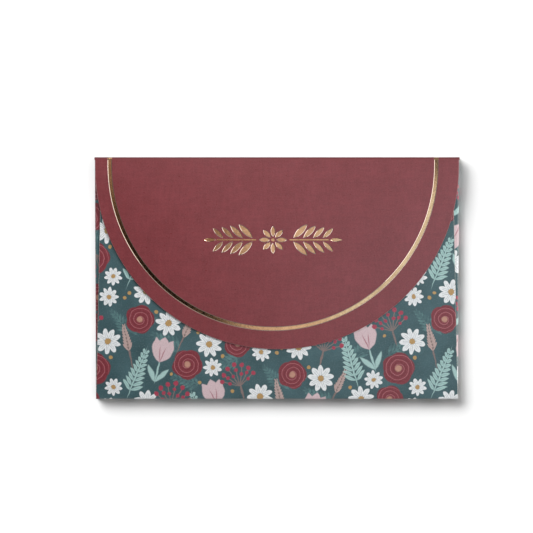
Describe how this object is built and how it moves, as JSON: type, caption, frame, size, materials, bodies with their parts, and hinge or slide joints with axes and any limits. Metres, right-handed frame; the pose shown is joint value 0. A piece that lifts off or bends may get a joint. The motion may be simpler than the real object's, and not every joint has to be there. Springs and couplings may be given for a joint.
{
  "type": "gift card holder",
  "caption": "Flat folded card pocket for a gift card, with glued side folds and a large round flap that swings on a double-creased spine and closes over the front.",
  "frame": {"origin": "on the surface that the holder lies on, under the middle of its back", "axes": "+X across the holder, +Y up to the hinged edge, +Z out of its front"},
  "size_m": [0.1146, 0.0764, 0.0039],
  "materials": {
    "printed_card": "matte print on coated card, off-white inside",
    "flap_card": "soft-touch matte print on coated card, off-white inside",
    "stamped_foil": "hot-stamped metallic foil",
    "glue": "dried paper glue",
    "tack_dot": "clear low-tack adhesive"
  },
  "bodies": {
    "pocket": {"back_panel": "printed_card", "bottom_wall": "printed_card", "front_panel": "printed_card", "left_wall": "printed_card", "right_wall": "printed_card", "left_side_flap": "printed_card", "right_side_flap": "printed_card", "left_glue_strip": "glue", "right_glue_strip": "glue"},
    "spine": {"back_crease": "flap_card", "top_spine": "flap_card"},
    "flap": {"flap_crease": "flap_card", "closing_flap": "flap_card", "foil_line": "stamped_foil", "foil_sprig": "stamped_foil", "closure_dot": "tack_dot"}
  },
  "joints": [
    {"name": "spine_fold", "type": "hinge", "parent": "pocket", "child": "spine", "pos_m": [0, 0.03793, 0.00022], "axis": [-1, 0, 0], "range_deg": [0, 90]},
    {"name": "flap_fold", "type": "hinge", "parent": "spine", "child": "flap", "pos_m": [0, 0.03793, 0.00373], "axis": [-1, 0, 0], "range_deg": [0, 90]}
  ]
}
